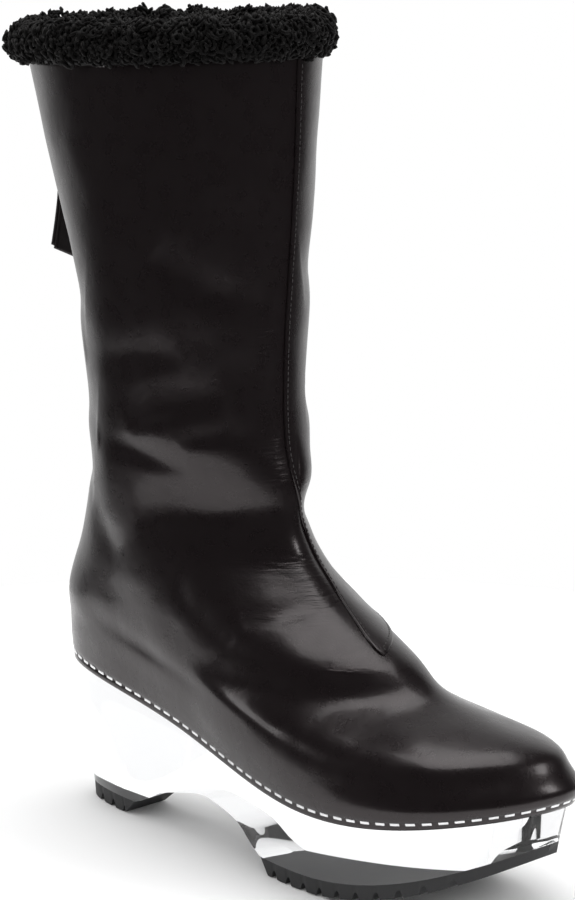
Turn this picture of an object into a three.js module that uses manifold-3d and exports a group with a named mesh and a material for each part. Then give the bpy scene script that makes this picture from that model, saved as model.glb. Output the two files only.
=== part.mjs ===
// Platform boot for the right foot: a leather shaft and foot on a clear wedge sole, with a fleece cuff.
// Millimetres. +X points to the toe, +Y to the inner side of the leg, +Z up.
// The origin is on the floor under the middle of the heel tread.

import * as THREE from "three";
import { mergeVertices } from "three/addons/utils/BufferGeometryUtils.js";
import Module from "manifold-3d";

const wasm = await Module();
wasm.setup();

// The last: the lengths, widths and heights that the foot and leg are cut to
const FOOT_LENGTH = 261;
const HEEL_BACK = 22;
const HEEL_WIDTH = 60;
const WAIST_WIDTH = 59;
const BALL_WIDTH = 92;
const TOE_SWING = 15;
const WAIST_SWING = 7;
const HEEL_HEIGHT = 65;
const HEEL_SIDE_DROP = 1.2;
const WAIST_HEIGHT = 52.5;
const BALL_HEIGHT = 36.6;
const TOE_SIDE_HEIGHT = 40.5;
const TOE_HEIGHT = 45;
const HEEL_RISE = 90;
const INSTEP_RISE = 109;

// The leg above the ankle
const ANKLE_BACK = 8.2;
const ANKLE_FRONT = 104;
const ANKLE_WIDTH = 79;
const COLLAR_BACK = 38.5;
const COLLAR_FRONT = 104.5;
const COLLAR_WIDTH = 100;
const SHAFT_BACK_HEIGHT = 171;
const SHAFT_FRONT_HEIGHT = 180;

// The leather
const LEATHER = 2.4;
const PANEL_STEP = 1.0;
const PANEL_ROOT = 0.8;
const CLEARANCE = 0.3;

// The clear platform and the treads
const REBATE = 8;
const TREAD = 6.7;
const BREAST_X = 27;
const ARCH_LENGTH = 91;
const ARCH_RISE = 16.4;
const ROCKER_START = 141;
const ROCKER_RADIUS = 185;
const ROCKER_TOP_RADIUS = 205;
const LUG_PITCH = 9.5;
const LUG_DEPTH = 3.2;
const LUG_WIDTH = 3.4;
const LUG_TIP_SHARE = 0.35;
const FIRST_LUG = 8.5;
const LUG_REACH = 13;
const TREAD_BEVEL = 8;
const INSOLE = 3;
const INSOLE_INSET = 2;

// The fleece cuff
const FLEECE_OUT_BACK = 8;
const FLEECE_OUT_FRONT = 4;
const FLEECE_IN = 8;
const FLEECE_UP = 15;
const FLEECE_DOWN = 1;
const FLEECE_SPLIT = 5;
const LOCK_RADIUS = 4.4;
const LOCK_COUNT = 86;
const LOCK_SPREAD = 4;
const LOCK_VARIETY = 0.2;
const LOCK_BEAT = 2.3;
const LOCK_MARGIN = 2.5;
const CUFF_RINGS = 32;
const CUFF_SIDES = 8;

// The zip down the back
const ZIP_WIDTH = 8;
const ZIP_THICKNESS = 1.6;
const ZIP_LOW = 7;
const ZIP_HIGH = 14.75;
const SLIDER_HEIGHT = 14.1;
const SLIDER = { width: 9, height: 12, depth: 3 };
const BRIDGE = { width: 2.6, height: 8, eyeHeight: 3.6, eyeDepth: 3.2, wire: 1.2 };
const PULL = { width: 12, height: 15, wire: 1.8 };
const STRIP = { length: 43, topWidth: 6, endWidth: 15, thickness: 1.3, slant: 6.5, lag: 1.5 };

const COLUMNS = 44;
const RINGS_PER_SECTION = 2;
const TURN = 2 * Math.PI;

// A smooth curve through evenly or unevenly spaced values, with level ends if asked
function spline(knots, values, levelEnds) {
  const n = knots.length;
  const lower = new Array(n).fill(0);
  const diagonal = new Array(n).fill(1);
  const upper = new Array(n).fill(0);
  const right = new Array(n).fill(0);
  const step = knots.slice(1).map((knot, i) => knot - knots[i]);
  const rise = step.map((h, i) => (values[i + 1] - values[i]) / h);
  for (let i = 1; i < n - 1; i += 1) {
    lower[i] = step[i - 1];
    diagonal[i] = 2 * (step[i - 1] + step[i]);
    upper[i] = step[i];
    right[i] = 6 * (rise[i] - rise[i - 1]);
  }
  if (levelEnds) {
    diagonal[0] = 2 * step[0];
    upper[0] = step[0];
    right[0] = 6 * rise[0];
    lower[n - 1] = step[n - 2];
    diagonal[n - 1] = 2 * step[n - 2];
    right[n - 1] = -6 * rise[n - 2];
  }
  for (let i = 1; i < n; i += 1) {
    const share = lower[i] / diagonal[i - 1];
    diagonal[i] -= share * upper[i - 1];
    right[i] -= share * right[i - 1];
  }
  const bend = new Array(n).fill(0);
  bend[n - 1] = right[n - 1] / diagonal[n - 1];
  for (let i = n - 2; i >= 0; i -= 1) {
    bend[i] = (right[i] - upper[i] * bend[i + 1]) / diagonal[i];
  }
  return (at) => {
    let i = 0;
    while (i < n - 2 && at > knots[i + 1]) {
      i += 1;
    }
    const h = step[i];
    const a = (knots[i + 1] - at) / h;
    const b = (at - knots[i]) / h;
    const cubic = ((a ** 3 - a) * bend[i] + (b ** 3 - b) * bend[i + 1]) * h * h / 6;
    return a * values[i] + b * values[i + 1] + cubic;
  };
}

// Sections of the foot, from the feather line up to the ankle, as shares of the last's sizes.
// back and reach are lengths from the feather's rear end, rises are above the feather line,
// sag is how much of the feather's dip the section keeps, and the six widths run heel to toe.
const FOOT_SECTIONS = [
  { back: 0.000, rise: 0.00, reach: 1.000, front: 0.000, sag: 1.00, swing: 1.00,
    half: [1.88, 1.50, 1.00, 1.00, 1.24, 1.24] },
  { back: 0.004, rise: 0.09, reach: 1.012, front: 0.070, sag: 0.98, swing: 1.00,
    half: [1.90, 1.52, 1.07, 1.05, 1.28, 1.26] },
  { back: 0.006, rise: 0.17, reach: 0.990, front: 0.145, sag: 0.90, swing: 1.00,
    half: [1.90, 1.53, 1.11, 1.06, 1.23, 1.18] },
  { back: 0.006, rise: 0.24, reach: 0.960, front: 0.208, sag: 0.75, swing: 0.92,
    half: [1.90, 1.53, 1.15, 1.03, 1.16, 1.06] },
  { back: 0.004, rise: 0.31, reach: 0.860, front: 0.265, sag: 0.60, swing: 0.55,
    half: [1.88, 1.53, 1.18, 0.97, 0.97, 0.86] },
  { back: 0.000, rise: 0.39, reach: 0.765, front: 0.325, sag: 0.45, swing: 0.50,
    half: [1.80, 1.50, 1.20, 0.90, 0.84, 0.74] },
  { back: -0.010, rise: 0.49, reach: 0.712, front: 0.420, sag: 0.30, swing: 0.40,
    half: [1.65, 1.45, 1.22, 0.88, 0.84, 0.74] },
  { back: -0.026, rise: 0.62, reach: 0.608, front: 0.560, sag: 0.15, swing: 0.20,
    half: [1.43, 1.35, 1.24, 0.84, 0.75, 0.64] },
  { back: -0.042, rise: 0.80, reach: 0.503, front: 0.770, sag: 0.05, swing: 0.08,
    half: [1.25, 1.26, 1.25, 0.78, 0.64, 0.54] },
];

// Sections of the leg, from the ankle to the collar, as shares of the leg's sizes. heel and shin
// say how full the back and the front are beside a plain oval.
const LEG_SECTIONS = [
  { rise: 0.000, back: 0.00, front: 0.00, width: 0.00, heel: 0.92, shin: 0.72 },
  { rise: 0.120, back: -0.02, front: -0.75, width: 0.02, heel: 0.98, shin: 0.98 },
  { rise: 0.250, back: 0.00, front: -1.10, width: 0.10, heel: 0.98, shin: 0.98 },
  { rise: 0.400, back: 0.05, front: -1.10, width: 0.28, heel: 1.00, shin: 1.00 },
  { rise: 0.590, back: 0.25, front: -0.95, width: 0.50, heel: 1.00, shin: 1.00 },
  { rise: 0.790, back: 0.62, front: -0.55, width: 0.76, heel: 1.00, shin: 1.00 },
  { rise: 1.000, back: 1.00, front: 0.00, width: 1.00, heel: 1.00, shin: 1.00 },
];
const SHIN_DIP = 6;

// Where along a section the six widths are measured, as angles from the heel to the toe
const STATIONS = [0, 1, 2, 3, 4, 5].map((i) => (i * Math.PI) / 5);
const FEATHER_STATIONS = [
  HEEL_HEIGHT, HEEL_HEIGHT - HEEL_SIDE_DROP, WAIST_HEIGHT, BALL_HEIGHT, TOE_SIDE_HEIGHT, TOE_HEIGHT,
];

const along = (angle) => (1 - Math.cos(angle)) / 2;
const mix = (from, to, share) => from + (to - from) * share;

function footRow(section) {
  const widths = [HEEL_WIDTH, HEEL_WIDTH, WAIST_WIDTH, BALL_WIDTH, BALL_WIDTH, BALL_WIDTH];
  return {
    backX: -HEEL_BACK - section.back * FOOT_LENGTH,
    backZ: HEEL_HEIGHT + section.rise * HEEL_RISE,
    frontX: -HEEL_BACK + section.reach * FOOT_LENGTH,
    frontZ: TOE_HEIGHT + section.front * INSTEP_RISE,
    sag: section.sag,
    swing: section.swing,
    half: section.half.map((share, i) => (share * widths[i]) / 2),
  };
}

function legRow(section) {
  const half = mix(ANKLE_WIDTH, COLLAR_WIDTH, section.width) / 2;
  const shin = section.front * SHIN_DIP;
  return {
    backX: -mix(ANKLE_BACK, COLLAR_BACK, section.back),
    backZ: HEEL_HEIGHT + HEEL_RISE + section.rise * SHAFT_BACK_HEIGHT,
    frontX: mix(ANKLE_FRONT, COLLAR_FRONT, section.rise) + shin,
    frontZ: TOE_HEIGHT + INSTEP_RISE + section.rise * SHAFT_FRONT_HEIGHT,
    sag: 0,
    swing: 0,
    half: [section.heel, section.heel, 1, mix(1, section.shin, 0.4), mix(1, section.shin, 0.85), section.shin]
      .map((share) => share * half),
  };
}

const ROWS = [...FOOT_SECTIONS.map(footRow), ...LEG_SECTIONS.map(legRow)];
const ROW_KNOTS = ROWS.map((row, i) => i);
const TOP = ROWS.length - 1;
const rowCurve = (pick) => spline(ROW_KNOTS, ROWS.map(pick), false);
const rowBackX = rowCurve((row) => row.backX);
const rowBackZ = rowCurve((row) => row.backZ);
const rowFrontX = rowCurve((row) => row.frontX);
const rowFrontZ = rowCurve((row) => row.frontZ);
const rowSag = rowCurve((row) => row.sag);
const rowSwing = rowCurve((row) => row.swing);
const rowHalf = STATIONS.map((station, i) => rowCurve((row) => row.half[i]));

const featherChord = (angle) => mix(HEEL_HEIGHT, TOE_HEIGHT, along(angle));
const featherDips = STATIONS.map((angle, i) => FEATHER_STATIONS[i] - featherChord(angle));
const featherDip = spline(STATIONS, featherDips, true);
const swingShares = [0, 0, -WAIST_SWING * 0.7, TOE_SWING * 0.04, TOE_SWING * 0.5, TOE_SWING];
const swingCurve = spline(STATIONS, swingShares, true);
const widthCurves = new Map();

function widthCurve(height) {
  if (!widthCurves.has(height)) {
    const halves = rowHalf.map((curve) => curve(height));
    widthCurves.set(height, spline(STATIONS, halves, true));
  }
  return widthCurves.get(height);
}

// A point on the outside of the leather. turn runs round the boot from the back centre along
// the outer side to the toe and back along the inner side; height counts the sections.
function last(turn, height) {
  const angle = turn <= Math.PI ? turn : TURN - turn;
  const share = along(angle);
  const x = mix(rowBackX(height), rowFrontX(height), share);
  const centre = rowSwing(height) * swingCurve(angle);
  const y = centre - widthCurve(height)(angle) * Math.sin(turn);
  const z = mix(rowBackZ(height), rowFrontZ(height), share) + rowSag(height) * featherDip(angle);
  return new THREE.Vector3(x, y, z);
}

// The outward direction of the leather, square to the surface
function outward(turn, height) {
  const nudge = 0.01;
  const round = last((turn + nudge) % TURN, height).sub(last((turn - nudge + TURN) % TURN, height));
  const up = last(turn, Math.min(height + nudge, TOP)).sub(last(turn, Math.max(height - nudge, 0)));
  return round.cross(up).normalize();
}

const skin = (turn, height, offset) => last(turn, height).addScaledVector(outward(turn, height), offset);

// A closed solid through rings of points, each ring running the same way round, with its two
// ends closed by rungs straight across from the outer side to the inner side
function loft(rings) {
  const columns = rings[0].length;
  const positions = rings.flat().flatMap((point) => [point.x, point.y, point.z]);
  const faces = [];
  for (let i = 0; i < rings.length - 1; i += 1) {
    for (let j = 0; j < columns; j += 1) {
      const a = i * columns + j;
      const b = i * columns + ((j + 1) % columns);
      faces.push(a, a + columns, b, b, a + columns, b + columns);
    }
  }
  const head = (rings.length - 1) * columns;
  for (let j = 0; j < columns / 2 - 1; j += 1) {
    const far = columns - 1 - j;
    faces.push(j, j + 1, far, head + j, head + far, head + j + 1);
    if (far - 1 > j + 1) {
      faces.push(j + 1, far - 1, far, head + j + 1, head + far, head + far - 1);
    }
  }
  return solidOf(positions, faces);
}

// A solid from corner numbers, turned the right way out if its volume comes out negative
function solidOf(positions, faces) {
  let volume = 0;
  const corner = (i) => new THREE.Vector3(positions[3 * i], positions[3 * i + 1], positions[3 * i + 2]);
  for (let i = 0; i < faces.length; i += 3) {
    volume += corner(faces[i]).dot(corner(faces[i + 1]).cross(corner(faces[i + 2])));
  }
  const outwards = volume > 0 ? faces : faces.slice().reverse();
  return new wasm.Manifold(new wasm.Mesh({
    numProp: 3,
    vertProperties: new Float32Array(positions),
    triVerts: new Uint32Array(outwards),
  }));
}

// A solid from one of the library's closed shapes
function solidFrom(geometry) {
  const bare = geometry.clone();
  bare.deleteAttribute("normal");
  bare.deleteAttribute("uv");
  const merged = mergeVertices(bare, 1e-4);
  return solidOf(Array.from(merged.attributes.position.array), Array.from(merged.index.array));
}

// A slab across the boot whose outline is drawn in the X Z plane
function slab(outline, low, high) {
  const shape = new THREE.Shape(outline.map(([x, z]) => new THREE.Vector2(x, z)));
  const geometry = new THREE.ExtrudeGeometry(shape, { depth: high - low, bevelEnabled: false });
  geometry.rotateX(Math.PI / 2);
  geometry.translate(0, high, 0);
  return solidFrom(geometry);
}

const turns = (columns) => Array.from({ length: columns }, (unused, i) => (i * TURN) / columns);
const heights = (from, to, count) => (
  Array.from({ length: count + 1 }, (unused, i) => mix(from, to, i / count))
);
const ringAt = (height, offset) => turns(COLUMNS).map((turn) => skin(turn, height, offset));
const lift = (ring, by) => ring.map((point) => point.clone().add(new THREE.Vector3(0, 0, by)));

// The heights of the rings: two to a section over the foot, one over the straighter leg
const FOOT_TOP = FOOT_SECTIONS.length;
const RING_HEIGHTS = [
  ...heights(0, FOOT_TOP, FOOT_TOP * RINGS_PER_SECTION),
  ...heights(FOOT_TOP, TOP, TOP - FOOT_TOP).slice(1),
];

// The inner shaft panel: its front edge runs down the shin, turns round a tight point on the
// vamp and goes back along the inner side to the zip. share is how far round the boot the front
// edge lies, as a share of a half turn, at each section, and across is how far back the lower
// edge has gone, as a share of its run to the zip
const PANEL_FRONT = [
  { section: 6.28, share: 0.935 },
  { section: 6.64, share: 0.950 },
  { section: 7.0, share: 0.985 },
  { section: 7.5, share: 1.040 },
  { section: 8.1, share: 1.075 },
  { section: 8.7, share: 1.040 },
  { section: 9.4, share: 1.000 },
  { section: 10.3, share: 1.000 },
  { section: 11.6, share: 1.012 },
  { section: 13.0, share: 1.028 },
  { section: 15.0, share: 1.012 },
];
const PANEL_LOW = [
  { across: 0, section: 6.55 },
  { across: 0.03, section: 6.33 },
  { across: 0.07, section: 6.29 },
  { across: 0.14, section: 6.38 },
  { across: 0.24, section: 6.48 },
  { across: 0.40, section: 6.55 },
  { across: 0.70, section: 6.62 },
  { across: 1, section: 6.70 },
];
const PANEL_GRID = { columns: 18, rows: 14, crowding: 1.5 };
const panelFront = spline(PANEL_FRONT.map((row) => row.section), PANEL_FRONT.map((row) => row.share), false);
const panelLow = spline(PANEL_LOW.map((row) => row.across), PANEL_LOW.map((row) => row.section), false);

// How far round the boot a point lies that is some way off the centre back
const backTurn = (off, height) => Math.asin(off / widthCurve(height)(0));

function patch(turnAt, heightAt, columns, rows, inside, outside) {
  const positions = [];
  const faces = [];
  const index = (layer, i, j) => (layer * (columns + 1) + i) * (rows + 1) + j;
  [inside, outside].forEach((offset) => {
    for (let i = 0; i <= columns; i += 1) {
      for (let j = 0; j <= rows; j += 1) {
        const point = skin(turnAt(i / columns, j / rows), heightAt(i / columns, j / rows), offset);
        positions.push(point.x, point.y, point.z);
      }
    }
  });
  const quad = (a, b, c, d) => faces.push(a, b, c, a, c, d);
  for (let i = 0; i < columns; i += 1) {
    for (let j = 0; j < rows; j += 1) {
      quad(index(1, i, j), index(1, i, j + 1), index(1, i + 1, j + 1), index(1, i + 1, j));
      quad(index(0, i, j), index(0, i + 1, j), index(0, i + 1, j + 1), index(0, i, j + 1));
    }
    quad(index(0, i, 0), index(1, i, 0), index(1, i + 1, 0), index(0, i + 1, 0));
    quad(index(0, i + 1, rows), index(1, i + 1, rows), index(1, i, rows), index(0, i, rows));
  }
  for (let j = 0; j < rows; j += 1) {
    quad(index(0, 0, j + 1), index(1, 0, j + 1), index(1, 0, j), index(0, 0, j));
    quad(index(0, columns, j), index(1, columns, j), index(1, columns, j + 1), index(0, columns, j + 1));
  }
  return solidOf(positions, faces);
}

// The outside of the leather with the panel's step, grown outwards and upwards by a margin
function leatherForm(margin) {
  const rings = RING_HEIGHTS.map((height) => ringAt(height, margin));
  const outer = loft(margin > 0 ? [...rings, lift(rings[rings.length - 1], margin)] : rings);
  const spread = (3 * margin) / COLLAR_WIDTH;
  const { columns, rows, crowding } = PANEL_GRID;
  const heightAt = (across, up) => mix(panelLow(across), TOP, up ** crowding);
  const turnAt = (across, up) => {
    const height = heightAt(across, up);
    const start = Math.PI * panelFront(height) - spread;
    const end = TURN - backTurn(ZIP_WIDTH / 2 + CLEARANCE * 2, height) + spread;
    return mix(start, end, across ** crowding);
  };
  const panel = patch(turnAt, heightAt, columns, rows, -LEATHER * PANEL_ROOT, PANEL_STEP + margin);
  return outer.add(panel).add(panel.translate([0, 0, margin]));
}

// The hollow inside the leather, run on past both ends
function hollowForm(offset) {
  const rings = RING_HEIGHTS.map((height) => ringAt(height, offset));
  return loft([lift(rings[0], -REBATE), ...rings, lift(rings[rings.length - 1], REBATE)]);
}

const makeUpper = () => leatherForm(0).subtract(hollowForm(-LEATHER));

// The side of the platform and treads falls straight down from the feather line and tapers in
// by these shares of the drop, at the six stations from heel to toe
const OUTER_TAPER = [0.066, 0.13, 0.13, 0.13, 0.15, 0.20];
const INNER_TAPER = [0.066, 0.28, 0.23, 0.12, 0.15, 0.20];
const outerTaper = spline(STATIONS, OUTER_TAPER, true);
const innerTaper = spline(STATIONS, INNER_TAPER, true);
const SIDE_OFFSET = -(LEATHER + CLEARANCE);
const UNDERCUT = 5;

function sideRing(floor) {
  return turns(COLUMNS).map((turn) => {
    const start = skin(turn, 0, SIDE_OFFSET);
    const out = outward(turn, 0).setZ(0).normalize();
    const taper = turn <= Math.PI ? outerTaper(turn) : innerTaper(TURN - turn);
    start.addScaledVector(out, -taper * (start.z - floor));
    return start.setZ(floor);
  });
}

function sideLoft() {
  const rebate = heights(0, 1, 2).map((height) => ringAt(height, SIDE_OFFSET));
  return loft([sideRing(-UNDERCUT), ...rebate]);
}

// The arch's line under the waist, as shares of its length and rise
const ARCH = [
  [0, 0], [0.12, 0.27], [0.21, 0.53], [0.32, 0.72], [0.45, 0.90], [0.56, 1.00],
  [0.69, 0.92], [0.79, 0.79], [0.86, 0.61], [0.90, 0.41], [0.945, 0.19], [1, 0],
];

// The sprung underside of the toe: points along an arc that starts level behind the toe and runs
// on past it
function rocker(radius, height) {
  return heights(ROCKER_START, TOE_X + TOE_SPARE, ROCKER_STEPS).map((x) => {
    const run = Math.max(x - ROCKER_START, 0);
    return [x, height + radius - Math.sqrt(radius * radius - run * run)];
  });
}

const TREAD_TOP = TREAD + CLEARANCE;
const BALL_X = BREAST_X + ARCH_LENGTH;
const TOE_X = FOOT_LENGTH - HEEL_BACK;
const TOE_SPARE = 10;
const ROCKER_STEPS = 12;
const BEYOND = 60;

function makePlatform() {
  const arch = ARCH.map(([run, rise]) => [BREAST_X + run * ARCH_LENGTH, TREAD_TOP + rise * ARCH_RISE]);
  const toe = rocker(ROCKER_TOP_RADIUS, TREAD_TOP);
  const back = -HEEL_BACK - BEYOND;
  const front = TOE_X + BEYOND;
  const sky = HEEL_HEIGHT + BEYOND;
  const outline = [
    [back, TREAD_TOP], ...arch, ...toe, [front, toe[toe.length - 1][1]], [front, sky], [back, sky],
  ];
  return sideLoft().intersect(slab(outline, -BALL_WIDTH, BALL_WIDTH));
}

// A wedge cut in from one edge of a tread, leaving a lug on either side of it
function notch(x, floor, slope, side) {
  const half = LUG_WIDTH / 2;
  const tip = half * LUG_TIP_SHARE;
  const outline = [[-half, -LUG_DEPTH], [half, -LUG_DEPTH], [tip, LUG_DEPTH], [-tip, LUG_DEPTH]];
  const reach = BALL_WIDTH;
  const inner = side > 0 ? LUG_REACH : -LUG_REACH - reach;
  const wedge = slab(outline, inner, inner + reach);
  return wedge.rotate([0, -THREE.MathUtils.radToDeg(slope), 0]).translate([x, 0, floor]);
}

function makeHeelTread() {
  const back = -HEEL_BACK - BEYOND;
  const outline = [[back, 0], [BREAST_X - TREAD_BEVEL, 0], [BREAST_X, TREAD], [back, TREAD]];
  let tread = sideLoft().intersect(slab(outline, -BALL_WIDTH, BALL_WIDTH));
  for (let x = -LUG_PITCH; x < BREAST_X - TREAD_BEVEL; x += LUG_PITCH) {
    [-1, 1].forEach((side) => {
      tread = tread.subtract(notch(x, 0, 0, side));
    });
  }
  return tread;
}

function makeForefootTread() {
  const bottom = rocker(ROCKER_RADIUS, 0);
  const top = rocker(ROCKER_TOP_RADIUS, TREAD).reverse();
  const outline = [[BALL_X + TREAD_BEVEL / 2, 0], ...bottom, ...top, [BALL_X, TREAD]];
  let tread = sideLoft().intersect(slab(outline, -BALL_WIDTH, BALL_WIDTH));
  const first = BALL_X + FIRST_LUG;
  const count = Math.floor((TOE_X - first) / LUG_PITCH);
  for (let i = 0; i < count; i += 1) {
    const x = first + i * LUG_PITCH;
    const run = Math.max(x - ROCKER_START, 0);
    const floor = ROCKER_RADIUS - Math.sqrt(ROCKER_RADIUS * ROCKER_RADIUS - run * run);
    const slope = Math.asin(run / ROCKER_RADIUS);
    [-1, 1].forEach((side) => {
      tread = tread.subtract(notch(x, floor, slope, side));
    });
  }
  return tread;
}

// The insole lies on the platform's top, drawn in a little from the leather all round
function makeInsole() {
  const rim = ringAt(1, SIDE_OFFSET - INSOLE_INSET);
  return loft([lift(rim, CLEARANCE), lift(rim, CLEARANCE + INSOLE)]);
}

// The fleece: a rounded ring over the collar's edge, lumpy with locks, split at the back and
// slotted so that it sits on the leather with a small clearance
function cuffPoint(turn, lap) {
  const edge = last(turn, TOP);
  const side = outward(turn, TOP).setZ(0).normalize();
  const out = mix(FLEECE_OUT_BACK, FLEECE_OUT_FRONT, along(turn));
  const into = LEATHER + FLEECE_IN;
  const across = (out - into) / 2 + ((out + into) / 2) * Math.cos(lap);
  const high = (FLEECE_UP - FLEECE_DOWN) / 2 + ((FLEECE_UP + FLEECE_DOWN) / 2) * Math.sin(lap);
  return edge.addScaledVector(side, across).add(new THREE.Vector3(0, 0, high));
}

function makeCuff() {
  const split = backTurn(FLEECE_SPLIT / 2, TOP);
  const rings = heights(split, TURN - split, CUFF_RINGS).map((turn) => (
    turns(CUFF_SIDES).map((lap) => cuffPoint(turn, lap))
  ));
  const golden = Math.PI * (3 - Math.sqrt(5));
  const locks = Array.from({ length: LOCK_COUNT }, (unused, i) => {
    const turn = mix(split * LOCK_MARGIN, TURN - split * LOCK_MARGIN, (i + 0.5) / LOCK_COUNT);
    const size = LOCK_RADIUS * (1 + LOCK_VARIETY * Math.sin(i * LOCK_BEAT));
    const lock = new THREE.OctahedronGeometry(size, 0);
    const lap = Math.PI / 2 + LOCK_SPREAD * (((i * golden) % TURN) / TURN - 0.5);
    const centre = cuffPoint(turn, lap);
    lock.rotateX(i);
    lock.rotateZ(i * 2);
    lock.translate(centre.x, centre.y, centre.z);
    return solidFrom(lock);
  });
  const ring = wasm.Manifold.union([loft(rings), ...locks]);
  return ring.subtract(leatherForm(CLEARANCE).subtract(hollowForm(SIDE_OFFSET)));
}

// The closed zip: a flat ridge down the centre back, from above the heel to just under the
// fleece, with its rows at the leather's own rings
function makeZipChain() {
  const between = RING_HEIGHTS.filter((height) => height > ZIP_LOW && height < ZIP_HIGH);
  const stops = [ZIP_LOW, ...between, ZIP_HIGH];
  const rows = stops.length - 1;
  const heightAt = (across, up) => stops[Math.round(up * rows)];
  const turnAt = (across, up) => (
    (TURN + backTurn(mix(-ZIP_WIDTH, ZIP_WIDTH, across) / 2, heightAt(across, up))) % TURN
  );
  return patch(turnAt, heightAt, 2, rows, CLEARANCE, CLEARANCE + ZIP_THICKNESS);
}

// A block by its size along X, Y and Z and the place of its middle
function block(size, middle) {
  const geometry = new THREE.BoxGeometry(...size);
  geometry.translate(...middle);
  return solidFrom(geometry);
}

// The slider stands on the zip just under the fleece, tilted as the back of the shaft is
const seat = skin(0, SLIDER_HEIGHT, CLEARANCE * 2 + ZIP_THICKNESS);
const seatOut = outward(0, SLIDER_HEIGHT);
const seatTilt = Math.atan2(seatOut.z, -seatOut.x);
const pinOut = SLIDER.depth + BRIDGE.eyeDepth / 2;
const PIN = new THREE.Vector3(-pinOut, 0, 0)
  .applyAxisAngle(new THREE.Vector3(0, 1, 0), seatTilt)
  .add(seat);

function makeSlider() {
  const body = block([SLIDER.depth, SLIDER.width, SLIDER.height], [-SLIDER.depth / 2, 0, 0]);
  const reach = SLIDER.depth + BRIDGE.eyeDepth + BRIDGE.wire;
  const bridge = block([reach, BRIDGE.width, BRIDGE.height], [-reach / 2, 0, 0]);
  const eye = block(
    [BRIDGE.eyeDepth, BRIDGE.width * 3, BRIDGE.eyeHeight],
    [-SLIDER.depth - BRIDGE.eyeDepth / 2, 0, 0],
  );
  const slider = body.add(bridge).subtract(eye);
  return slider.rotate([0, THREE.MathUtils.radToDeg(seatTilt), 0]).translate(seat.toArray());
}

// The pull ring hangs from the bridge: a flat loop of wire whose top bar is the hinge
function makePull() {
  const { width, height, wire } = PULL;
  const loop = block([wire, width, height], [0, 0, wire / 2 - height / 2]);
  const window = block(
    [wire * 3, width - wire * 2, height - wire * 2],
    [0, 0, wire / 2 - height / 2],
  );
  return loop.subtract(window).translate(PIN.toArray());
}

// The leather strip is folded over the ring's lower bar and hangs in two tails, which widen
// downwards and are cut off on one slant, longer towards the inner side
function makeStrip() {
  const bar = PULL.wire / 2 - PULL.height + PULL.wire / 2;
  const room = PULL.wire / 2 + CLEARANCE;
  const out = room + STRIP.thickness;
  const fold = block([out * 2, STRIP.topWidth, out * 2], [0, 0, bar])
    .subtract(block([room * 2, STRIP.topWidth * 2, room * 2], [0, 0, bar]));
  const tail = (side) => {
    const short = side > 0 ? 0 : STRIP.lag;
    const half = STRIP.endWidth / 2;
    const shape = new THREE.Shape([
      new THREE.Vector2(-STRIP.topWidth / 2, 0),
      new THREE.Vector2(STRIP.topWidth / 2, 0),
      new THREE.Vector2(half - short / 2, -STRIP.length + short),
      new THREE.Vector2(-half + short / 2, -STRIP.length + short + STRIP.slant),
    ]);
    const geometry = new THREE.ExtrudeGeometry(shape, { depth: out - CLEARANCE / 2, bevelEnabled: false });
    geometry.rotateX(Math.PI / 2);
    geometry.rotateZ(Math.PI / 2);
    geometry.translate(side > 0 ? CLEARANCE / 2 : -out, 0, bar - room);
    return solidFrom(geometry);
  };
  return fold.add(tail(1)).add(tail(-1)).translate(PIN.toArray());
}

function meshOf(solid, name, color, roughness, extras) {
  const { vertProperties, triVerts } = solid.getMesh();
  const geometry = new THREE.BufferGeometry();
  geometry.setAttribute("position", new THREE.BufferAttribute(vertProperties, 3));
  geometry.setIndex(new THREE.BufferAttribute(triVerts, 1));
  geometry.computeVertexNormals();
  const mesh = new THREE.Mesh(geometry, new THREE.MeshStandardMaterial({ color, roughness, ...extras }));
  mesh.name = name;
  return mesh;
}

const boot = new THREE.Group();
boot.add(meshOf(makeUpper(), "upper", 0x1c191a, 0.35));
boot.add(meshOf(makeCuff(), "fleece_cuff", 0x0c0b0c, 0.95));
boot.add(meshOf(makeInsole(), "insole", 0x222021, 0.8));
boot.add(meshOf(makePlatform(), "platform", 0xf2f5f6, 0.05, { transparent: true, opacity: 0.35 }));
boot.add(meshOf(makeHeelTread(), "heel_tread", 0x171617, 0.7));
boot.add(meshOf(makeForefootTread(), "forefoot_tread", 0x171617, 0.7));
boot.add(meshOf(makeZipChain(), "zip_chain", 0x202022, 0.5));
boot.add(meshOf(makeSlider(), "zip_slider", 0x9a9a9c, 0.3, { metalness: 1 }));
boot.add(meshOf(makePull(), "zip_pull", 0x9a9a9c, 0.3, { metalness: 1 }));
boot.add(meshOf(makeStrip(), "pull_strip", 0x141314, 0.45));

export default boot;
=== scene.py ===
import math
import random

import bmesh
import bpy
from mathutils import Matrix, Vector, noise


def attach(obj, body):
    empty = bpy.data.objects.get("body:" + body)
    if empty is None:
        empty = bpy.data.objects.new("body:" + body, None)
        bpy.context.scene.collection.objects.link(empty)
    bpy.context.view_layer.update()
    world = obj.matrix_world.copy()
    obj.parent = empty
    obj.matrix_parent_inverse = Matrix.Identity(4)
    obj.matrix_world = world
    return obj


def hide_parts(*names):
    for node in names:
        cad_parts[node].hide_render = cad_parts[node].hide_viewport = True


# A platform boot for the right foot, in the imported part's frame: +X to the toe, +Y to the
# inner side of the leg, +Z up from the floor. Sizes are in millimetres, and MM brings them to
# metres where a mesh is made.
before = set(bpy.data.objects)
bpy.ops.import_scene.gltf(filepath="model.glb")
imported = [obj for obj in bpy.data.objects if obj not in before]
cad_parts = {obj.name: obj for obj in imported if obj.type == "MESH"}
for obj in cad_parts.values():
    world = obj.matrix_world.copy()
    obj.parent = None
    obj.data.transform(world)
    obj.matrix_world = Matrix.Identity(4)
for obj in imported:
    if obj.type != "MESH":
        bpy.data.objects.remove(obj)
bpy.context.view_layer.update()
MM = 0.001


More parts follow.
